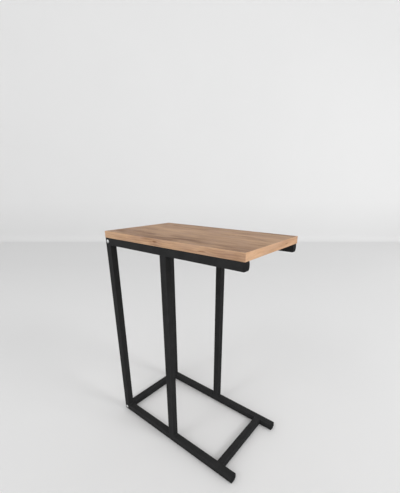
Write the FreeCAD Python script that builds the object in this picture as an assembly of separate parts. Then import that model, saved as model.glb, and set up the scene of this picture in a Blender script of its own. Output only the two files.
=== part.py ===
import FreeCAD, Part
import math
import os

# C shaped side table. Two welded side frames of square steel tube are joined by three cross
# bars, and a board with glued edge bands is screwed down on their top rails.
# +X points to the open front end, +Y to the left side and +Z up. The origin is on the floor
# under the middle of the board. All lengths are in millimetres.

# Board
board_length = 450.0
board_width = 250.0
board_thickness = 18.0
board_arris_radius = 0.6
edge_band_thickness = 1.0

# Square steel tube and the frame that is made of it
frame_height = 600.0
tube_size = 20.0
tube_wall = 1.2
tube_outer_radius = 1.5
tube_inner_radius = 0.5
middle_leg_from_rear = 226.0
front_bar_from_front = 52.5
weld_lip_share = 0.5

# Bolts through the rear corners, and the threaded plugs that take them
frame_bolt_diameter = 6.0
frame_bolt_head_diameter = 10.5
frame_bolt_head_height = 3.3
frame_bolt_rim_height = 0.8
frame_bolt_socket_width = 4.0
frame_bolt_socket_depth = 2.0
threaded_plug_length = 15.0

# Spigots of the front floor bar, and the set screws that lock the bar on them
spigot_length = 30.0
set_screw_from_rail = 15.0
set_screw_diameter = 5.0
set_screw_length = 8.0
set_screw_recess = 0.3
set_screw_socket_width = 2.5
set_screw_socket_depth = 3.0
set_screw_point_length = 1.0

# Screws that hold the board down
top_screw_from_end = 80.0
top_screw_diameter = 4.0
top_screw_point_length = 5.0
top_screw_head_diameter = 8.0
top_screw_head_height = 2.6
top_screw_rim_height = 0.6
top_screw_cross_length = 4.2
top_screw_cross_width = 1.0
top_screw_cross_depth = 1.4
board_left_above_screw = 3.0

# Plastic caps in the open rail ends
end_cap_rim_height = 1.0
end_cap_crown_height = 2.2
end_cap_edge_radius = 0.6
end_cap_skirt_length = 12.0
end_cap_skirt_wall = 1.5
end_cap_fin_reach = 1.0
end_cap_fin_thickness = 0.8
end_cap_fin_count = 3

# Plastic glides under the floor rails
glide_from_end = 30.0
glide_flange_diameter = 16.0
glide_flange_height = 2.0
glide_edge_radius = 0.8
glide_stem_diameter = 6.0
glide_barb_diameter = 7.2
glide_barb_end_diameter = 4.6
glide_barb_length = 5.0

# Clearances, each on one side or on the radius, and the overrun of every cut
fit_clearance = 0.1
thread_clearance = 0.1
hole_clearance = 0.3
screw_end_clearance = 0.5
overrun = 2.0
direction_tolerance = 0.001

X_AXIS = FreeCAD.Vector(1, 0, 0)
Y_AXIS = FreeCAD.Vector(0, 1, 0)
Z_AXIS = FreeCAD.Vector(0, 0, 1)

# Faces and centre lines of the frame, which is flush with the board all round
rear_face = -board_length / 2
front_face = board_length / 2
side_face = board_width / 2
frame_underside = glide_flange_height
frame_top = frame_underside + frame_height
rear_line = rear_face + tube_size / 2
middle_leg_line = rear_face + middle_leg_from_rear
front_bar_line = front_face - front_bar_from_front
side_line = side_face - tube_size / 2
inner_face = side_face - tube_size
floor_line = frame_underside + tube_size / 2
top_line = frame_top - tube_size / 2
tube_bore = tube_size - 2 * tube_wall
plug_size = tube_bore - 2 * fit_clearance
end_cap_flange_thickness = end_cap_rim_height + end_cap_crown_height

# Each side and level with its name; inward is the way from a rail to the frame's middle
SIDES = (("right", -1), ("left", 1))
LEVELS = (("top", top_line, frame_top, -1), ("floor", floor_line, frame_underside, 1))
ENDS = (("rear", rear_face, 1), ("front", front_face, -1))


def keep(node, shape):
    """Writes one finished piece under its node name."""
    shape.exportStep("parts/" + node + ".step")


def laid(shape, start, axis):
    """A piece that was made along +Z, moved to its start and turned to run along the axis."""
    piece = shape.copy()
    piece.Placement = FreeCAD.Placement(start, FreeCAD.Rotation(Z_AXIS, axis))
    return piece


def rounded_bar(size, radius, length):
    """Square bar along +Z from the origin, with its four long edges rounded."""
    bar = Part.makeBox(size, size, length, FreeCAD.Vector(-size / 2, -size / 2, 0))
    long_edges = [e for e in bar.Edges if e.Curve.Direction.cross(Z_AXIS).Length < direction_tolerance]
    return bar.makeFillet(radius, long_edges)


def square_tube(length):
    """Hollow square tube along +Z from the origin."""
    outside = rounded_bar(tube_size, tube_outer_radius, length)
    return outside.cut(rounded_bar(tube_bore, tube_inner_radius, length))


def round_hole(diameter, clearance, length):
    """Cutter for a round hole along +Z; it starts one overrun before the origin."""
    start = FreeCAD.Vector(0, 0, -overrun)
    return Part.makeCylinder(diameter / 2 + clearance, length + overrun, start)


def hex_prism(width, length):
    """Hexagonal prism along +Z from the origin, as wide across its flats as given."""
    corner_radius = width / math.sqrt(3)
    turns = [math.tau * n / 6 for n in range(7)]
    points = [FreeCAD.Vector(math.cos(t), math.sin(t), 0) * corner_radius for t in turns]
    return Part.Face(Part.makePolygon(points)).extrude(Z_AXIS * length)


def crown_radius(width, height):
    """Radius of the sphere that has a crown of this width and height."""
    return ((width / 2) ** 2 + height ** 2) / (2 * height)


def domed_head(diameter, height, rim_height):
    """Screw head below the origin: a straight rim, then a spherical crown."""
    radius = crown_radius(diameter, height - rim_height)
    head = Part.makeCylinder(diameter / 2, height, FreeCAD.Vector(0, 0, -height))
    ball = Part.makeSphere(radius, FreeCAD.Vector(0, 0, radius - height))
    return head.common(ball)


# Places of the fasteners and glides

def corner_point(side, level_line):
    """Where a frame bolt enters the outer face of a rear corner."""
    return FreeCAD.Vector(rear_line, side * side_face, level_line)


def top_screw_point(side, end_face, towards_middle):
    """Where a top screw enters the underside of a top rail."""
    x = end_face + towards_middle * top_screw_from_end
    return FreeCAD.Vector(x, side * side_line, frame_top - tube_size)


def glide_point(side, end_face, towards_middle):
    """Where a glide's stem enters the underside of a floor rail."""
    x = end_face + towards_middle * glide_from_end
    return FreeCAD.Vector(x, side * side_line, frame_underside)


def set_screw_point(side):
    """Where a set screw enters the underside of the front floor bar."""
    return FreeCAD.Vector(front_bar_line, side * (inner_face - set_screw_from_rail), frame_underside)


# Board and its edge bands

top_screw_length = tube_size + board_thickness - board_left_above_screw


def banded_board():
    """The board as it looks when its bands are glued on, with every arris rounded."""
    corner = FreeCAD.Vector(rear_face, -side_face, frame_top)
    block = Part.makeBox(board_length, board_width, board_thickness, corner)
    return block.makeFillet(board_arris_radius, block.Edges)


def slab(low_x, high_x, low_y, high_y):
    """Upright block between two X and two Y faces, as tall as the board."""
    corner = FreeCAD.Vector(low_x, low_y, frame_top)
    return Part.makeBox(high_x - low_x, high_y - low_y, board_thickness, corner)


def make_board():
    """Core between the bands, with blind holes for the top screws."""
    band = edge_band_thickness
    core = slab(rear_face + band, front_face - band, -side_face + band, side_face - band)
    core = banded_board().common(core)
    hole_depth = top_screw_length - tube_size + screw_end_clearance
    hole = round_hole(top_screw_diameter, thread_clearance, hole_depth)
    for _, side in SIDES:
        for _, end_face, towards_middle in ENDS:
            start = top_screw_point(side, end_face, towards_middle) + Z_AXIS * tube_size
            core = core.cut(laid(hole, start, Z_AXIS))
    keep("table_top_board", core)


def make_edge_bands():
    """Side bands run the full length; the end bands fit between them."""
    whole = banded_board()
    band = edge_band_thickness
    for name, side in SIDES:
        low_y, high_y = sorted((side * side_face, side * (side_face - band)))
        keep(name + "_edge_band", whole.common(slab(rear_face, front_face, low_y, high_y)))
    for name, end_face, towards_middle in ENDS:
        low_x, high_x = sorted((end_face, end_face + towards_middle * band))
        strip = slab(low_x, high_x, band - side_face, side_face - band)
        keep(name + "_edge_band", whole.common(strip))


# Side frames

def mitre_waste(corner_z, inward, of_rail):
    """Wedge beyond the 45 degree seam of a rear corner, on the rail's or on the leg's side."""
    reach = tube_size + overrun
    outer = FreeCAD.Vector(rear_face - overrun, -board_width, corner_z - inward * overrun)
    inner = FreeCAD.Vector(rear_face + reach, -board_width, corner_z + inward * reach)
    third = FreeCAD.Vector(outer.x if of_rail else inner.x, -board_width, inner.z if of_rail else outer.z)
    triangle = Part.Face(Part.makePolygon([outer, inner, third, outer]))
    return triangle.extrude(Y_AXIS * 2 * board_width)


def corner_hole(side, level_line):
    """Cutter for the frame bolt's hole through both walls of a rear corner."""
    hole = round_hole(frame_bolt_diameter, hole_clearance, tube_size + overrun)
    return laid(hole, corner_point(side, level_line), Y_AXIS * -side)


def make_rail(name, side, level):
    """Rail from the mitred rear corner to the cap in its front end."""
    level_name, level_line, corner_z, inward = level
    start = FreeCAD.Vector(rear_face, side * side_line, level_line)
    rail = laid(square_tube(board_length - end_cap_flange_thickness), start, X_AXIS)
    rail = rail.cut(mitre_waste(corner_z, inward, True))
    rail = rail.cut(corner_hole(side, level_line))
    for _, end_face, towards_middle in ENDS:
        if level_name == "top":
            hole = round_hole(top_screw_diameter, hole_clearance, tube_size + overrun)
            place = top_screw_point(side, end_face, towards_middle)
        else:
            hole = round_hole(glide_stem_diameter, fit_clearance, tube_wall + overrun)
            place = glide_point(side, end_face, towards_middle)
        rail = rail.cut(laid(hole, place, Z_AXIS))
    keep(name + "_" + level_name + "_rail", rail)


def make_rear_leg(name, side):
    """Leg at the spine end, mitred to both rails."""
    start = FreeCAD.Vector(rear_line, side * side_line, frame_underside)
    leg = laid(square_tube(frame_height), start, Z_AXIS)
    for _, level_line, corner_z, inward in LEVELS:
        leg = leg.cut(mitre_waste(corner_z, inward, False))
        leg = leg.cut(corner_hole(side, level_line))
    keep(name + "_rear_leg", leg)


def make_middle_leg(name, side):
    """Leg between the rails; its weld lips lie part of the way down their round edges."""
    lip = weld_lip_share * tube_outer_radius
    start = FreeCAD.Vector(middle_leg_line, side * side_line, frame_underside + tube_size - lip)
    leg = laid(square_tube(frame_height - 2 * (tube_size - lip)), start, Z_AXIS)
    rail = rounded_bar(tube_size, tube_outer_radius, board_length)
    for _, level_line, _, _ in LEVELS:
        leg = leg.cut(laid(rail, FreeCAD.Vector(rear_face, side * side_line, level_line), X_AXIS))
    keep(name + "_middle_leg", leg)


# Cross bars and what is inside their ends

def make_cross_bars():
    """Three tubes between the inner faces of the side frames."""
    tube = square_tube(2 * inner_face)
    for level_name, level_line, _, _ in LEVELS:
        start = FreeCAD.Vector(rear_line, -inner_face, level_line)
        keep("rear_" + level_name + "_cross_bar", laid(tube, start, Y_AXIS))
    front_bar = laid(tube, FreeCAD.Vector(front_bar_line, -inner_face, floor_line), Y_AXIS)
    hole = round_hole(set_screw_diameter, thread_clearance, tube_wall + overrun)
    for _, side in SIDES:
        front_bar = front_bar.cut(laid(hole, set_screw_point(side), Z_AXIS))
    keep("front_floor_cross_bar", front_bar)


def make_threaded_plug(name, side, level):
    """Steel block fixed in a rear bar's end, with a threaded hole for the frame bolt."""
    level_name, level_line, _, _ = level
    plug = rounded_bar(plug_size, tube_inner_radius, threaded_plug_length)
    plug = plug.cut(round_hole(frame_bolt_diameter, thread_clearance, threaded_plug_length + overrun))
    start = FreeCAD.Vector(rear_line, side * inner_face, level_line)
    keep(name + "_" + level_name + "_threaded_plug", laid(plug, start, Y_AXIS * -side))


def make_frame_bolt(name, side, level):
    """Round-headed bolt from the outer face of a corner to the far end of its plug."""
    level_name, level_line, _, _ = level
    shank = Part.makeCylinder(frame_bolt_diameter / 2, tube_size + threaded_plug_length)
    bolt = domed_head(frame_bolt_head_diameter, frame_bolt_head_height, frame_bolt_rim_height).fuse(shank)
    socket = hex_prism(frame_bolt_socket_width, frame_bolt_socket_depth + overrun)
    socket.translate(Z_AXIS * -(frame_bolt_head_height + overrun))
    bolt = bolt.cut(socket).removeSplitter()
    keep(name + "_" + level_name + "_frame_bolt", laid(bolt, corner_point(side, level_line), Y_AXIS * -side))


def make_spigot(name, side):
    """Steel block welded to a floor rail's inner face, over which the front floor bar slips."""
    start = FreeCAD.Vector(front_bar_line, side * inner_face, floor_line)
    spigot = laid(rounded_bar(plug_size, tube_inner_radius, spigot_length), start, Y_AXIS * -side)
    hole_depth = set_screw_recess + set_screw_length + screw_end_clearance
    hole = round_hole(set_screw_diameter, thread_clearance, hole_depth)
    keep(name + "_spigot", spigot.cut(laid(hole, set_screw_point(side), Z_AXIS)))


def make_set_screw(name, side):
    """Headless screw, sunk in the bar's lower wall and screwed into the spigot."""
    radius = set_screw_diameter / 2
    straight = set_screw_length - set_screw_point_length
    screw = Part.makeCylinder(radius, straight)
    point = Part.makeCone(radius, radius - set_screw_point_length, set_screw_point_length, Z_AXIS * straight)
    screw = screw.fuse(point)
    socket = hex_prism(set_screw_socket_width, set_screw_socket_depth + overrun)
    socket.translate(Z_AXIS * -overrun)
    screw = screw.cut(socket).removeSplitter()
    keep(name + "_set_screw", laid(screw, set_screw_point(side) + Z_AXIS * set_screw_recess, Z_AXIS))


# Screws that hold the board

def make_top_screw(name, side, end):
    """Cross-head screw up through a top rail into the board."""
    end_name, end_face, towards_middle = end
    radius = top_screw_diameter / 2
    straight = top_screw_length - top_screw_point_length
    screw = domed_head(top_screw_head_diameter, top_screw_head_height, top_screw_rim_height)
    screw = screw.fuse(Part.makeCylinder(radius, straight))
    screw = screw.fuse(Part.makeCone(radius, 0, top_screw_point_length, Z_AXIS * straight))
    depth = top_screw_cross_depth + overrun
    for length, width in ((top_screw_cross_length, top_screw_cross_width),
                          (top_screw_cross_width, top_screw_cross_length)):
        corner = FreeCAD.Vector(-length / 2, -width / 2, -(top_screw_head_height + overrun))
        screw = screw.cut(Part.makeBox(length, width, depth, corner))
    place = top_screw_point(side, end_face, towards_middle)
    keep(name + "_" + end_name + "_top_screw", laid(screw.removeSplitter(), place, Z_AXIS))


# End caps and glides

def domed_flange():
    """Head of a cap along +Z from the origin: a square rim under a shallow spherical crown from corner
    to corner, with the edge between them rounded. The ball's poles and seam lie off the crown."""
    block = rounded_bar(tube_size, tube_outer_radius, end_cap_flange_thickness)
    corner_reach = tube_outer_radius + math.sqrt(2) * (tube_size / 2 - tube_outer_radius)
    radius = crown_radius(2 * corner_reach, end_cap_crown_height)
    centre = FreeCAD.Vector(0, 0, end_cap_flange_thickness - radius)
    flange = block.common(Part.makeSphere(radius, centre, X_AXIS * -1))
    crown = max(flange.Faces, key=lambda face: face.CenterOfMass.z)
    return flange.makeFillet(end_cap_edge_radius, crown.Edges)


def make_end_cap(name, side, level):
    """Square cap with a domed face, and a finned skirt that grips inside the rail."""
    level_name, level_line, _, _ = level
    skirt_size = plug_size - 2 * end_cap_fin_reach
    hollow_size = skirt_size - 2 * end_cap_skirt_wall
    skirt = rounded_bar(skirt_size, tube_inner_radius, end_cap_skirt_length)
    fin_step = end_cap_skirt_length / (end_cap_fin_count + 1)
    for number in range(end_cap_fin_count):
        fin = rounded_bar(plug_size, tube_inner_radius, end_cap_fin_thickness)
        fin.translate(Z_AXIS * fin_step * (number + 1))
        skirt = skirt.fuse(fin)
    skirt = skirt.cut(rounded_bar(hollow_size, tube_inner_radius, end_cap_skirt_length))
    skirt.translate(Z_AXIS * -end_cap_skirt_length)
    cap = domed_flange().fuse(skirt).removeSplitter()
    start = FreeCAD.Vector(front_face - end_cap_flange_thickness, side * side_line, level_line)
    keep(name + "_" + level_name + "_end_cap", laid(cap, start, X_AXIS))


def make_glide(name, side, end):
    """Round foot under a floor rail, with a barbed stem that snaps into the rail's lower wall."""
    end_name, end_face, towards_middle = end
    below = Z_AXIS * -glide_flange_height
    flange = Part.makeCylinder(glide_flange_diameter / 2, glide_flange_height, below)
    rim = [e for e in flange.Edges if e.BoundBox.ZMax < -glide_flange_height / 2]
    glide = flange.makeFillet(glide_edge_radius, rim)
    barb_start = tube_wall + fit_clearance
    glide = glide.fuse(Part.makeCylinder(glide_stem_diameter / 2, barb_start))
    barb = Part.makeCone(glide_barb_diameter / 2, glide_barb_end_diameter / 2, glide_barb_length,
                         Z_AXIS * barb_start)
    place = glide_point(side, end_face, towards_middle)
    keep(name + "_" + end_name + "_glide", laid(glide.fuse(barb).removeSplitter(), place, Z_AXIS))


# The table, put together

os.makedirs("parts", exist_ok=True)
make_board()
make_edge_bands()
make_cross_bars()
for side_name, side_sign in SIDES:
    make_rear_leg(side_name, side_sign)
    make_middle_leg(side_name, side_sign)
    make_spigot(side_name, side_sign)
    make_set_screw(side_name, side_sign)
    for frame_level in LEVELS:
        make_rail(side_name, side_sign, frame_level)
        make_threaded_plug(side_name, side_sign, frame_level)
        make_frame_bolt(side_name, side_sign, frame_level)
        make_end_cap(side_name, side_sign, frame_level)
    for table_end in ENDS:
        make_top_screw(side_name, side_sign, table_end)
        make_glide(side_name, side_sign, table_end)
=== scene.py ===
import bpy
import math
import numpy as np
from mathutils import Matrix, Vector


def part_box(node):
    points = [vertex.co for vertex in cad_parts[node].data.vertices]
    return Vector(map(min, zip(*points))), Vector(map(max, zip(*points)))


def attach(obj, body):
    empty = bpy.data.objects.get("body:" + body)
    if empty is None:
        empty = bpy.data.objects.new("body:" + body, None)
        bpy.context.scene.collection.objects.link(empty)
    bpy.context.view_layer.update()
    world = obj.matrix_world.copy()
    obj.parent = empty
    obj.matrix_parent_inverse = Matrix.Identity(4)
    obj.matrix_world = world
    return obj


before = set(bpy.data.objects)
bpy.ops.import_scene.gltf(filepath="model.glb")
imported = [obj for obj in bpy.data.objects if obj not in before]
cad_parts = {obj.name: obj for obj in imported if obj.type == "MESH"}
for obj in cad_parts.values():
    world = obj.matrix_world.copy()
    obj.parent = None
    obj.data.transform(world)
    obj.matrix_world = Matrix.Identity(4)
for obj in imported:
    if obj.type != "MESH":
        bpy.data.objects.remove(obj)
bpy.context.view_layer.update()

# Side frames. Each is two rails and two legs sawn from 20 mm square steel tube, mitred at the
# rear corners, welded and ground flush outside, and powder coated matt black in one piece.
# The coat has a fine orange peel. The round edges are painted paler: partly a thinner coat, partly a
# painted highlight.

coat_dark = (0.0182, 0.0184, 0.0187, 1.0)
coat_light = (0.0264, 0.0266, 0.0270, 1.0)
# Paler tone of the round edges: partly thinner coat, partly a painted highlight.
coat_pale_edge_and_highlight = (0.0425, 0.0429, 0.0438, 1.0)
coat_edge_limits = (0.02, 0.2)
coat_pale_edge_and_highlight_share = 0.4
coat_roughness = (0.50, 0.64)
coat_edge_polish = 0.1
coat_specular = 0.08
coat_cloud_cells = (45.0, 45.0, 45.0)
coat_mottle_limits = (0.1, 0.4)
coat_peel_cells = (900.0, 900.0, 900.0)
coat_peel_strength = 0.35
coat_peel_depth = 0.0002


def new_finish(name):
    """A material with nodes: gives the material, its node tree and its surface shader."""
    finish = bpy.data.materials.new(name)
    finish.use_nodes = True
    return finish, finish.node_tree, finish.node_tree.nodes["Principled BSDF"]


def feed(tree, node, inputs):
    """Sets a node's inputs, named or numbered, to values or to other nodes' outputs."""
    for key, value in inputs.items():
        if isinstance(value, bpy.types.NodeSocket):
            tree.links.new(value, node.inputs[key])
        else:
            node.inputs[key].default_value = value


def add(tree, kind, inputs, **settings):
    """Adds a shader node with its settings and inputs, and gives its outputs."""
    node = tree.nodes.new("ShaderNode" + kind)
    for setting, value in settings.items():
        setattr(node, setting, value)
    feed(tree, node, inputs)
    return node.outputs


def speckle(tree, place, cells, detail=2.0):
    """Cloudy pattern from 0 to 1 with so many cells to the metre along X, Y and Z."""
    stretched = add(tree, "Mapping", {"Vector": place, "Scale": cells})[0]
    return add(tree, "TexNoise", {"Vector": stretched, "Scale": 1.0, "Detail": detail})[0]


def between(tree, share, low, high, start=0.0, end=1.0):
    """Number that goes from low to high while the share goes from start to end."""
    return add(tree, "MapRange", {"Value": share, "From Min": start, "From Max": end,
                                  "To Min": low, "To Max": high})[0]


def mixed(tree, share, first, second):
    """Colour that goes from the first to the second as the share goes from 0 to 1."""
    return add(tree, "Mix", {0: share, 6: first, 7: second}, data_type="RGBA")[2]


def roundness(tree, start, end):
    """0 on faces square to X, Y or Z, rising to 1 on the round edges between them:
    one minus the largest part of the surface's own direction, between start and end."""
    normal = add(tree, "TexCoord", {})["Normal"]
    size = add(tree, "VectorMath", {0: normal}, operation="ABSOLUTE")[0]
    parts = add(tree, "SeparateXYZ", {0: size})
    larger = add(tree, "Math", {0: parts[0], 1: parts[1]}, operation="MAXIMUM")[0]
    largest = add(tree, "Math", {0: larger, 1: parts[2]}, operation="MAXIMUM")[0]
    return between(tree, largest, 0.0, 1.0, 1.0 - start, 1.0 - end)


def black_powder_coat():
    """Charcoal black with cloudy, finely speckled tone and orange peel; smoother round edges, paler from
    thinner coat and a painted highlight.
    """
    finish, tree, shader = new_finish("black_powder_coat")
    place = add(tree, "TexCoord", {})["Object"]
    cloud = speckle(tree, place, coat_cloud_cells)
    peel = speckle(tree, place, coat_peel_cells)
    edge = roundness(tree, *coat_edge_limits)
    mottle = add(tree, "Math", {0: cloud, 1: peel}, operation="MULTIPLY")[0]
    tone = mixed(tree, between(tree, mottle, 0.0, 1.0, *coat_mottle_limits), coat_dark, coat_light)
    # Round edges painted paler: partly thinner coat, partly a painted highlight.
    tone = mixed(tree, between(tree, edge, 0.0, coat_pale_edge_and_highlight_share), tone, coat_pale_edge_and_highlight)
    bump = add(tree, "Bump", {"Height": peel, "Strength": coat_peel_strength,
                              "Distance": coat_peel_depth})[0]
    dull = between(tree, cloud, *coat_roughness)
    polish = between(tree, edge, 0.0, coat_edge_polish)
    dull = add(tree, "Math", {0: dull, 1: polish}, operation="SUBTRACT")[0]
    feed(tree, shader, {"Base Color": tone, "Roughness": dull, "Normal": bump,
                        "Specular IOR Level": coat_specular})
    return finish


def finish_nodes(finish, names):
    """Puts a finish on the CAD pieces of these names."""
    for name in names:
        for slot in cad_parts[name].material_slots:
            slot.material = finish


SIDES = ("right", "left")
powder_coat = black_powder_coat()
for side in SIDES:
    finish_nodes(powder_coat, [side + "_top_rail", side + "_floor_rail",
                               side + "_rear_leg", side + "_middle_leg"])

# Welds of the side frames. A short fillet of rippled weld metal is left in each inner corner,
# where the grinding disc doesn't reach, and the powder coat covers it with the tubes.

weld_length_share = 0.8
weld_leg = 0.0026
weld_sink = 0.0006
weld_bulge = 0.18
weld_ripples = 9
weld_ripple_height = 0.1
weld_ripple_bow = 0.2
weld_end_power = 8
weld_steps = 55
weld_face_points = 9


def weld_fillet(corner, along, away):
    """Fillet weld along Y in a corner. Its section is a bulging face, at the angle a from one tube
    to the other at the radius leg / (cos a + sin a) * (1 + bulge * sin 2a), with its back sunk
    in both tubes. Along the weld the leg ripples as the sine of the count, and closes at the ends."""
    t = np.linspace(0.0, 1.0, weld_steps)[:, None]
    a = np.linspace(0.0, math.pi / 2, weld_face_points)[None, :]
    taper = np.sqrt(1.0 - np.abs(2.0 * t - 1.0) ** weld_end_power)
    crescent = t * weld_ripples + weld_ripple_bow * np.sin(2.0 * a)
    ripple = 1.0 + weld_ripple_height * (np.abs(np.sin(math.pi * crescent)) - 0.5)
    radius = weld_leg * taper * ripple * (1.0 + weld_bulge * np.sin(2.0 * a)) / (np.cos(a) + np.sin(a))
    face_x = radius * np.cos(a)
    face_z = radius * np.sin(a)
    sunk = np.full_like(t, -weld_sink)
    back_x = np.concatenate([sunk, sunk, face_x[:, :1]], axis=1)
    back_z = np.concatenate([face_z[:, -1:], sunk, sunk], axis=1)
    x = corner[0] + away[0] * np.concatenate([face_x, back_x], axis=1)
    z = corner[2] + away[1] * np.concatenate([face_z, back_z], axis=1)
    y = np.broadcast_to(corner[1] + along * (t - 0.5), x.shape)
    return np.stack([x, y, z], axis=-1)


def skin(rings, turned):
    """Points, sides and end faces of closed rings laid side by side, turned inside out on request."""
    count, around = rings.shape[:2]
    index = np.arange(count * around).reshape(count, around)
    after = np.roll(index, -1, axis=1)
    sides = np.stack([index[:-1], after[:-1], after[1:], index[1:]], axis=-1).reshape(-1, 4)
    ends = np.stack([index[0, ::-1], index[-1]])
    step = -1 if turned else 1
    return rings.reshape(-1, 3), sides[:, ::step], ends[:, ::step]


def mesh_piece(name, shells, finish):
    """One object of several closed shells, smooth, riding on the table."""
    points = np.concatenate([shell[0] for shell in shells])
    faces = []
    start = 0
    for shell_points, sides, ends in shells:
        faces += (sides + start).tolist() + (ends + start).tolist()
        start += len(shell_points)
    mesh = bpy.data.meshes.new(name)
    mesh.from_pydata(points.tolist(), [], faces)
    mesh.shade_smooth()
    mesh.materials.append(finish)
    piece = bpy.data.objects.new(name, mesh)
    bpy.context.scene.collection.objects.link(piece)
    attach(piece, "root")


for side in SIDES:
    welds = []
    rear_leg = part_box(side + "_rear_leg")
    middle_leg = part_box(side + "_middle_leg")
    floor_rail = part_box(side + "_floor_rail")
    top_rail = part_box(side + "_top_rail")
    middle_y = (rear_leg[0].y + rear_leg[1].y) / 2
    weld_length = weld_length_share * (rear_leg[1].y - rear_leg[0].y)
    for leg_face, away_x in ((rear_leg[1].x, 1), (middle_leg[0].x, -1), (middle_leg[1].x, 1)):
        for rail_face, away_z in ((floor_rail[1].z, 1), (top_rail[0].z, -1)):
            corner = (leg_face, middle_y, rail_face)
            rings = weld_fillet(corner, weld_length, (away_x, away_z))
            welds.append(skin(rings, away_x * away_z > 0))
    mesh_piece(side + "_frame_welds", welds, powder_coat)

# Cross bars. Three lengths of the same tube, coated like the side frames, hold them apart:
# two at the rear, bolted from outside, and one at the front that slips over two spigots.

finish_nodes(powder_coat, ["rear_top_cross_bar", "rear_floor_cross_bar", "front_floor_cross_bar",
                           "right_spigot", "left_spigot"])

# Fasteners of the frame. Cold formed steel bolts and set screws, and the threaded plugs in the
# bars' ends, are barrel plated with bright zinc, which leaves small scuffs all over them.

zinc_dark = (0.56, 0.575, 0.59, 1.0)
zinc_light = (0.76, 0.76, 0.745, 1.0)
zinc_roughness = (0.22, 0.46)
zinc_cloud_cells = (350.0, 350.0, 350.0)
zinc_scuff_cells = (2600.0, 2600.0, 900.0)
zinc_scuff_strength = 0.18
zinc_scuff_depth = 0.0001


def bright_zinc():
    """Bluish white metal with cloudy brightness and fine scuffs."""
    finish, tree, shader = new_finish("bright_zinc")
    place = add(tree, "TexCoord", {})["Object"]
    cloud = speckle(tree, place, zinc_cloud_cells)
    scuffs = speckle(tree, place, zinc_scuff_cells)
    bump = add(tree, "Bump", {"Height": scuffs, "Strength": zinc_scuff_strength,
                              "Distance": zinc_scuff_depth})[0]
    feed(tree, shader, {"Base Color": mixed(tree, cloud, zinc_dark, zinc_light), "Metallic": 1.0,
                        "Normal": bump, "Roughness": between(tree, scuffs, *zinc_roughness)})
    return finish


LEVELS = ("top", "floor")
zinc = bright_zinc()
for side in SIDES:
    finish_nodes(zinc, [side + "_set_screw"])
    for level in LEVELS:
        finish_nodes(zinc, [side + "_" + level + "_threaded_plug", side + "_" + level + "_frame_bolt"])

# End caps and glides. Moulded in black polyethylene with a fine spark-eroded grain; the domed caps
# are pushed into the open rail ends, and the glides snap into holes under the floor rails.

plastic_dark = (0.0115, 0.0117, 0.0119, 1.0)
plastic_light = (0.017, 0.0172, 0.0175, 1.0)
plastic_edge = (0.028, 0.0284, 0.029, 1.0)
plastic_edge_limits = (0.03, 0.6)
plastic_roughness = (0.48, 0.66)
plastic_specular = 0.12
plastic_cloud_cells = (120.0, 120.0, 120.0)
plastic_grain_cells = (2200.0, 2200.0, 2200.0)
plastic_grain_strength = 0.3
plastic_grain_depth = 0.00012


def moulded_black_plastic():
    """Matt black with a fine pitted grain and worn, paler round edges."""
    finish, tree, shader = new_finish("moulded_black_plastic")
    place = add(tree, "TexCoord", {})["Object"]
    cloud = speckle(tree, place, plastic_cloud_cells)
    tone = mixed(tree, cloud, plastic_dark, plastic_light)
    tone = mixed(tree, roundness(tree, *plastic_edge_limits), tone, plastic_edge)
    grain = speckle(tree, place, plastic_grain_cells)
    bump = add(tree, "Bump", {"Height": grain, "Strength": plastic_grain_strength,
                              "Distance": plastic_grain_depth})[0]
    feed(tree, shader, {"Base Color": tone, "Normal": bump, "Specular IOR Level": plastic_specular,
                        "Roughness": between(tree, grain, *plastic_roughness)})
    return finish


ENDS = ("rear", "front")
plastic = moulded_black_plastic()
for side in SIDES:
    finish_nodes(plastic, [side + "_" + level + "_end_cap" for level in LEVELS])
    finish_nodes(plastic, [side + "_" + end + "_glide" for end in ENDS])

# Board. Chipboard 18 mm thick, faced on both sides with a matt wood print whose grain runs along
# the table. The figure is that of a plain-sawn log: rings about a pith below the board, drawn round
# a few small knots, with wavy streaks, fibres and short dark pores. The print also darkens with the
# number of rings from the pith, towards both long edges: partly the figure, partly painted shade.

face_tones = {"light": (0.500, 0.318, 0.190, 1.0), "middle": (0.383, 0.233, 0.138, 1.0),
              "dark": (0.190, 0.096, 0.046, 1.0), "grey": (0.385, 0.248, 0.178, 1.0)}
face_roughness = 0.60
face_ring_pitch = 0.006
# The top darkens towards both long edges with the rings' number: partly figure, partly painted shade.
face_darkening_rings = (9.0, 21.0)
face_pith_depth = 0.055
face_pith_aside = 0.02
face_lean = (0.0, math.radians(2.5), math.radians(1.2))
face_knot_depth = 0.03
# All wood prints share what follows: cells to the metre along and across the grain, limits between
# which a pattern goes from nothing to full, and weights, which a feature adds to the darkness.
wood_specular = 0.22
wood_roughness_spread = 0.07
across_grain = (0.0, 1.0, 1.0)
noise_middle = (0.5, 0.5, 0.5)
wander_cells = (11.0, 18.0, 18.0)
wander_detail = 2.0
wander_reach = (0.0, 0.012, 0.012)
late_wood_start = (0.35, 0.85)
late_wood_end = (0.90, 1.0)
ring_weight = 0.36
# Darkening with the rings' number from the pith: partly figure, partly painted shade.
ring_darkening_weight = 0.55
fade_cells = (3.0, 30.0, 30.0)
fade_limits = (0.35, 0.65)
faintest_ring = 0.2
band_cells = (7.0, 34.0, 34.0)
band_limits = (0.34, 0.66)
band_weight = 0.50
streak_cells = (14.0, 80.0, 80.0)
streak_detail = 6.0
streak_weight = 1.45
fibre_cells = (22.0, 1500.0, 1500.0)
fibre_detail = 3.0
fibre_weight = 0.50
pore_cells = (60.0, 2200.0, 2200.0)
pore_limits = (0.60, 0.72)
pore_weight = 0.30
knot_limits = (0.55, 0.95)
knot_weight = 0.55
lightness = 1.06
middle_stop = 0.5
patch_cells = (16.0, 60.0, 60.0)
patch_limits = (0.45, 0.75)
patch_share = 0.7
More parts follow.
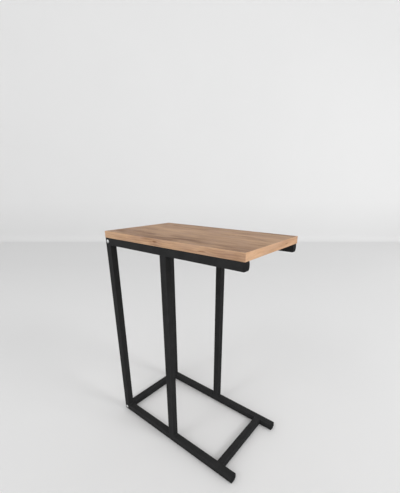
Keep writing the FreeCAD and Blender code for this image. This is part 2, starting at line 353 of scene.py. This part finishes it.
# Pale line on the arrises: partly the scraped band, partly a painted highlight.
arris_limits = (0.02, 0.25)
pale_arris_and_highlight_share = 0.5
fibre_strength = 0.15
fibre_depth = 0.0002


def weighed(tree, amount, weight, rest):
    """Amount times its weight, added to the rest."""
    return add(tree, "Math", {0: amount, 1: weight, 2: rest}, operation="MULTIPLY_ADD")[0]


def wander(tree, grain):
    """Vector that drifts about zero across the grain: cloudy noise less its middle, times the reach."""
    stretched = add(tree, "Mapping", {"Vector": grain, "Scale": wander_cells})[0]
    noise = add(tree, "TexNoise", {"Vector": stretched, "Scale": 1.0, "Detail": wander_detail})["Color"]
    drift = add(tree, "VectorMath", {0: noise, 1: noise_middle}, operation="SUBTRACT")[0]
    return add(tree, "VectorMath", {0: drift, 1: wander_reach}, operation="MULTIPLY")[0]


def ring_count(tree, grain, pith, lean, pitch, knots):
    """Number of growth rings from the pith: the distance from the log's axis over the pitch,
    plus for each knot its own rings times exp(-d * d), where d is the distance in knot sizes.
    Also gives the largest of those exp values."""
    log = add(tree, "Mapping", {"Vector": grain, "Location": pith, "Rotation": lean})[0]
    across = add(tree, "VectorMath", {0: log, 1: across_grain}, operation="MULTIPLY")[0]
    radius = add(tree, "VectorMath", {0: across}, operation="LENGTH")["Value"]
    rings = add(tree, "Math", {0: radius, 1: pitch}, operation="DIVIDE")[0]
    strongest = 0.0
    for place, size, knot_rings in knots:
        shift = add(tree, "VectorMath", {0: grain, 1: place}, operation="SUBTRACT")[0]
        scaled = add(tree, "VectorMath", {0: shift, 1: size}, operation="DIVIDE")[0]
        squared = add(tree, "VectorMath", {0: scaled, 1: scaled}, operation="DOT_PRODUCT")["Value"]
        fall = add(tree, "Math", {0: squared, 1: -1.0}, operation="MULTIPLY")[0]
        knot = add(tree, "Math", {0: fall}, operation="EXPONENT")[0]
        rings = weighed(tree, knot, knot_rings, rings)
        strongest = add(tree, "Math", {0: strongest, 1: knot}, operation="MAXIMUM")[0]
    return rings, strongest


def wood_print(name, turn, tones, roughness, pith, lean, pitch, darkening_rings, knots):
    """Wood figure along the grain, which is X turned about Z. Its darkness is a weighted sum of rings,
    their number from the pith between limits (partly painted shade), broad bands, streaks, fibres,
    pores and knots, and runs through the tones from light to dark. Greyish patches lie over it, and
    paler arrises: partly scraped, partly a painted highlight."""
    finish, tree, shader = new_finish(name)
    place = add(tree, "TexCoord", {})["Object"]
    grain = add(tree, "Mapping", {"Vector": place, "Rotation": (0.0, 0.0, turn)})[0]
    grain = add(tree, "VectorMath", {0: grain, 1: wander(tree, grain)}, operation="ADD")[0]
    rings, knot = ring_count(tree, grain, pith, lean, pitch, knots)
    season = add(tree, "Math", {0: rings}, operation="FRACT")[0]
    growing = between(tree, season, 0.0, 1.0, *late_wood_start)
    ending = between(tree, season, 1.0, 0.0, *late_wood_end)
    ring = add(tree, "Math", {0: growing, 1: ending}, operation="MULTIPLY")[0]
    fade = between(tree, speckle(tree, grain, fade_cells), faintest_ring, 1.0, *fade_limits)
    ring = add(tree, "Math", {0: ring, 1: fade}, operation="MULTIPLY")[0]
    band = between(tree, speckle(tree, grain, band_cells), 0.0, 1.0, *band_limits)
    fibre = speckle(tree, grain, fibre_cells, fibre_detail)
    pore = between(tree, speckle(tree, grain, pore_cells), 0.0, 1.0, *pore_limits)
    dark = weighed(tree, ring, ring_weight, -lightness)
    # Darker with more rings from the pith: partly figure, partly painted shade.
    dark = weighed(tree, between(tree, rings, 0.0, 1.0, *darkening_rings), ring_darkening_weight, dark)
    dark = weighed(tree, band, band_weight, dark)
    dark = weighed(tree, speckle(tree, grain, streak_cells, streak_detail), streak_weight, dark)
    dark = weighed(tree, fibre, fibre_weight, dark)
    dark = weighed(tree, pore, pore_weight, dark)
    dark = weighed(tree, between(tree, knot, 0.0, 1.0, *knot_limits), knot_weight, dark)
    ramp = add(tree, "ValToRGB", {"Fac": dark})[0]
    stops = ramp.node.color_ramp.elements
    stops.new(middle_stop)
    for stop, tone in zip(stops, ("light", "middle", "dark")):
        stop.color = tones[tone]
    patch = between(tree, speckle(tree, grain, patch_cells), 0.0, patch_share, *patch_limits)
    tone = mixed(tree, patch, ramp, tones["grey"])
    # The arrises are painted paler: partly the scraped band, partly a painted highlight.
    arris = between(tree, roundness(tree, *arris_limits), 0.0, pale_arris_and_highlight_share)
    tone = mixed(tree, arris, tone, tones["light"])
    bump = add(tree, "Bump", {"Height": fibre, "Strength": fibre_strength, "Distance": fibre_depth})[0]
    dull = between(tree, fibre, roughness - wood_roughness_spread, roughness + wood_roughness_spread)
    feed(tree, shader, {"Base Color": tone, "Normal": bump, "Roughness": dull,
                        "Specular IOR Level": wood_specular})
    return finish


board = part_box("table_top_board")
board_top = board[1].z


def face_knot(along, across, length, width, rings):
    """Knot in the top face: its place on the board, its size, and the rings that it adds."""
    return (along, across, board_top), (length, width, face_knot_depth), rings


face_pith = (0.0, -face_pith_aside, face_pith_depth - board_top)
face_knots = (face_knot(-0.09, -0.075, 0.030, 0.009, 2.6),
              face_knot(0.13, 0.035, 0.036, 0.011, 3.0),
              face_knot(-0.15, 0.085, 0.022, 0.007, 2.0))
face_print = wood_print("wood_face_print", 0.0, face_tones, face_roughness,
                        face_pith, face_lean, face_ring_pitch, face_darkening_rings, face_knots)
finish_nodes(face_print, ["table_top_board"])

# Edge bands. Strips 1 mm thick with a lighter print, glued on all four edges with hot melt, trimmed
# flush and scraped, which leaves a pale line on every arris; the pale line is partly a painted
# highlight. The grain runs along each strip, nearly straight, as from far out in the log.

side_tones = {"light": (0.620, 0.395, 0.240, 1.0), "middle": (0.472, 0.284, 0.169, 1.0),
              "dark": (0.215, 0.100, 0.044, 1.0), "grey": (0.470, 0.302, 0.215, 1.0)}
# The end strips carry the side strips' print painted lighter: painted light on the ends.
end_tones_painted_lighter = {"light": (0.745, 0.464, 0.278, 1.0), "middle": (0.600, 0.352, 0.202, 1.0),
             "dark": (0.400, 0.208, 0.104, 1.0), "grey": (0.590, 0.374, 0.252, 1.0)}
strip_roughness = 0.55
strip_ring_pitch = 0.005
strip_knot_depth = 0.02
strip_pith_above = 0.4
strip_pith = (0.0, 0.0, -board_top - strip_pith_above)
strip_lean = (0.0, math.radians(0.4), 0.0)
strip_middle = (board[0].z + board_top) / 2
# The side strips darken towards their lower arris with the rings' number: partly figure, partly painted
# shade.
side_darkening_rings = (83.5, 90.5)
end_darkening_rings = (60.0, 150.0)
end_turn = math.radians(-90.0)


def strip_knot(along, outside, above_middle, length, height, rings):
    """Knot in a strip's outside: its place in the turned grain, its size, and the rings that it adds."""
    return (along, outside, strip_middle + above_middle), (length, strip_knot_depth, height), rings


side_knots = (strip_knot(-0.022, board[0].y, 0.001, 0.013, 0.0038, 0.8),
              strip_knot(0.12, board[0].y, -0.003, 0.018, 0.0030, 0.7),
              strip_knot(0.03, board[1].y, 0.002, 0.015, 0.0040, 0.8))
end_knots = (strip_knot(0.06, -board[1].x, 0.0, 0.012, 0.0030, 0.6),
             strip_knot(-0.03, -board[0].x, 0.0, 0.014, 0.0040, 0.7))
side_print = wood_print("wood_side_strip_print", 0.0, side_tones, strip_roughness,
                        strip_pith, strip_lean, strip_ring_pitch, side_darkening_rings, side_knots)
# The end strips' print is a lighter copy of the side print, as painted light.
end_print_painted_lighter = wood_print("wood_end_strip_print_painted_lighter", end_turn, end_tones_painted_lighter, strip_roughness,
                       strip_pith, strip_lean, strip_ring_pitch, end_darkening_rings, end_knots)
finish_nodes(side_print, ["right_edge_band", "left_edge_band"])
finish_nodes(end_print_painted_lighter, ["rear_edge_band", "front_edge_band"])

# Screws of the board. Four cross-head screws, zinc plated like the bolts, go up through the top
# rails into the board.

for side in SIDES:
    finish_nodes(zinc, [side + "_" + end + "_top_screw" for end in ENDS])

# Floor and backdrop. A pale matt floor turns up in a round cove some way behind the table, into a
# wall of the same pale paint that stands square to the camera's line of sight. Walls with round
# corners close the room at the sides and behind the camera, and let the light through.

camera_place = np.array([0.48748, -0.58051, 0.73334])
camera_turn = math.radians(39.188)
camera_tilt = math.radians(21.722)
wall_ahead = 4.14
wall_behind = 8.0
wall_height = 16.0
cove_radius = 0.1
room_half_width = 9.0
corner_radius = 3.0
corner_steps = 24
paint_dark = (0.81, 0.81, 0.81, 1.0)
paint_light = (0.83, 0.83, 0.83, 1.0)
# Painted shade in the corner of floor and wall: its grey, how far from the wall it reaches, and how
# high.
paint_corner_shade = (0.755, 0.755, 0.755, 1.0)
corner_shade_from_wall = (3.04, 1.34)
corner_shade_height = 0.55
paint_roughness = (0.85, 0.95)
paint_specular = 0.1
paint_cloud_cells = (1.5, 1.5, 1.5)
camera_foot = camera_place * (1.0, 1.0, 0.0)
ahead = np.array([-math.sin(camera_turn), math.cos(camera_turn), 0.0])
sideways = np.array([math.cos(camera_turn), math.sin(camera_turn), 0.0])
upwards = np.array([0.0, 0.0, 1.0])
wall_foot = camera_foot + wall_ahead * ahead


def sheet(points):
    """Points and faces of a grid of points, one face between each four neighbours."""
    index = np.arange(points.shape[0] * points.shape[1]).reshape(points.shape[:2])
    quads = np.stack([index[:-1, :-1], index[:-1, 1:], index[1:, 1:], index[1:, :-1]], axis=-1)
    return points.reshape(-1, 3), quads.reshape(-1, 4)


def swept(run, rise):
    """Sheet swept sideways across the room: its profile is given by steps ahead of the camera's foot
    and steps up from the floor."""
    across = np.array([-room_half_width, room_half_width])
    points = camera_foot + run[:, None, None] * ahead + rise[:, None, None] * upwards
    return sheet(points + across[None, :, None] * sideways)


def floor_and_cove():
    """Flat floor, then a quarter circle of the cove's radius that ends upright at the wall."""
    turn = np.linspace(0.0, math.pi / 2, corner_steps)
    cove_run = wall_ahead - cove_radius * (1.0 - np.sin(turn))
    cove_rise = cove_radius * (1.0 - np.cos(turn))
    return swept(np.concatenate([[-wall_behind], cove_run]), np.concatenate([[0.0], cove_rise]))


def front_wall():
    """Upright wall from the top of the cove."""
    return swept(np.array([wall_ahead, wall_ahead]), np.array([cove_radius, wall_height]))


def other_walls():
    """Upright sheet on a path that goes round the room from one end of the front wall to the other:
    a quarter circle in each corner, about a centre one radius in from both walls."""
    turn = np.linspace(0.0, math.pi / 2, corner_steps)
    side = room_half_width - corner_radius
    front = wall_ahead - corner_radius
    back = corner_radius - wall_behind
    across = np.concatenate([side + corner_radius * np.sin(turn), side + corner_radius * np.cos(turn)])
    run = np.concatenate([front + corner_radius * np.cos(turn), back - corner_radius * np.sin(turn)])
    across = np.concatenate([across, -across[::-1]])
    run = np.concatenate([run, run[::-1]])
    rise = np.array([0.0, wall_height])
    points = camera_foot + run[:, None, None] * ahead + across[:, None, None] * sideways
    return sheet(points + rise[None, :, None] * upwards)


def pale_paint_with_corner_shade():
    """Matt pale paint with a faint cloudy tone, and a painted shade low down towards the front wall."""
    finish, tree, shader = new_finish("pale_paint_with_corner_shade")
    place = add(tree, "TexCoord", {})["Object"]
    cloud = speckle(tree, place, paint_cloud_cells)
    to_wall = add(tree, "VectorMath", {0: wall_foot, 1: place}, operation="SUBTRACT")[0]
    distance = add(tree, "VectorMath", {0: to_wall, 1: ahead}, operation="DOT_PRODUCT")["Value"]
    height = add(tree, "SeparateXYZ", {0: place})[2]
    # Painted shade: the paint greys low down near the front wall, in the corner of floor and wall.
    near = between(tree, distance, 0.0, 1.0, *corner_shade_from_wall)
    low = between(tree, height, 1.0, 0.0, 0.0, corner_shade_height)
    grey = add(tree, "Math", {0: near, 1: low}, operation="MULTIPLY")[0]
    tone = mixed(tree, cloud, paint_dark, paint_light)
    feed(tree, shader, {"Base Color": mixed(tree, grey, tone, paint_corner_shade),
                        "Roughness": between(tree, cloud, *paint_roughness),
                        "Specular IOR Level": paint_specular})
    return finish


def stage_piece(name, points, faces, finish):
    """Object that belongs to the room and not to the table."""
    mesh = bpy.data.meshes.new(name)
    mesh.from_pydata(points.tolist(), [], faces.tolist())
    mesh.materials.append(finish)
    piece = bpy.data.objects.new(name, mesh)
    bpy.context.scene.collection.objects.link(piece)
    return piece


paint = pale_paint_with_corner_shade()
floor = stage_piece("floor_and_cove", *floor_and_cove(), paint)
stage_piece("front_wall", *front_wall(), paint)
walls = stage_piece("other_walls", *other_walls(), paint)
# The table's gloss doesn't mirror the floor, and the other walls neither light nor shade the room.
floor.visible_glossy = False
walls.visible_diffuse = False
walls.visible_glossy = False
walls.visible_shadow = False

# Light. The whole room glows softly, more so at both sides of the camera, and two softboxes high
# on those sides throw the faint shadows of the legs. A third lights the wall from the right.

room_strength = 0.12
right_glow = 0.735
left_glow = 1.07
glow_aside = 50.0
glow_height = 15.0
glow_power = 1.5
softbox_size = 1.2
softbox_distance = 4.0
right_box_angles = (10.0, 33.0)
right_box_watts = 38.4
left_box_angles = (-100.0, 42.0)
left_box_watts = 16.5
wall_box_turn = 125.0
wall_box_rise = 4.0
wall_box_distance = 3.75
wall_box_watts = 4.75
wall_spot_turn = 166.0
wall_spot_distance = 4.2
table_middle = np.array([0.0, 0.0, 0.3])
camera_azimuth = math.degrees(camera_turn) - 90.0


def towards(azimuth, elevation):
    """Unit vector at an azimuth from +X and an elevation from the floor, in degrees."""
    turn = math.radians(azimuth)
    rise = math.radians(elevation)
    return np.array([math.cos(turn) * math.cos(rise), math.sin(turn) * math.cos(rise), math.sin(rise)])


def glow(tree, direction, middle):
    """Cosine of the angle from the glow's middle, nothing past a right angle, raised to a power."""
    facing = add(tree, "VectorMath", {0: direction, 1: middle}, operation="DOT_PRODUCT")["Value"]
    facing = add(tree, "Math", {0: facing, 1: 0.0}, operation="MAXIMUM")[0]
    return add(tree, "Math", {0: facing, 1: glow_power}, operation="POWER")[0]


def soft_room():
    """World that glows evenly, with two broad brighter sides."""
    world = bpy.data.worlds.new("soft_room")
    world.use_nodes = True
    tree = world.node_tree
    direction = add(tree, "TexCoord", {})["Generated"]
    level = room_strength
    for strength, aside in ((right_glow, glow_aside), (left_glow, -glow_aside)):
        side_glow = glow(tree, direction, towards(camera_azimuth + aside, glow_height))
        level = weighed(tree, side_glow, strength, level)
    feed(tree, tree.nodes["Background"], {"Color": (1.0, 1.0, 1.0, 1.0), "Strength": level})
    return world


def softbox(name, place, target, watts):
    """Square soft light at its place, turned towards the target."""
    lamp = bpy.data.lights.new(name, "AREA")
    lamp.size = softbox_size
    lamp.energy = watts
    box = bpy.data.objects.new(name, lamp)
    box.location = place
    line = np.subtract(target, place)
    turn = math.atan2(line[1], line[0]) - math.pi / 2
    box.rotation_euler = (math.atan2(math.hypot(line[0], line[1]), -line[2]), 0.0, turn)
    box.visible_camera = False
    bpy.context.scene.collection.objects.link(box)


bpy.context.scene.world = soft_room()
right_place = table_middle + softbox_distance * towards(*right_box_angles)
left_place = table_middle + softbox_distance * towards(*left_box_angles)
wall_place = camera_place + wall_box_distance * towards(camera_azimuth + wall_box_turn, wall_box_rise)
wall_spot = camera_place + wall_spot_distance * towards(camera_azimuth + wall_spot_turn, 0.0)
softbox("right_softbox", right_place, table_middle, right_box_watts)
softbox("left_softbox", left_place, table_middle, left_box_watts)
softbox("wall_softbox", wall_place, wall_spot, wall_box_watts)
bpy.context.scene.view_settings.view_transform = "Standard"

# Camera. It stands by the right front corner, a little above the board, and looks down at the
# middle of the table; the lens is shifted up, so that the table stands low in the frame.

image_height = 493.0
focal_pixels = 284.45
middle_row = 300.12
sensor_length = 36.0
lens = bpy.data.cameras.new("camera")
# The sensor's length lies along the longer side of the image, which is its height.
lens.sensor_width = sensor_length
lens.lens = sensor_length * focal_pixels / image_height
lens.shift_y = (middle_row - image_height / 2) / image_height
camera = bpy.data.objects.new("camera", lens)
camera.location = camera_place
camera.rotation_euler = (math.pi / 2 - camera_tilt, 0.0, camera_turn)
bpy.context.scene.collection.objects.link(camera)
bpy.context.scene.camera = camera
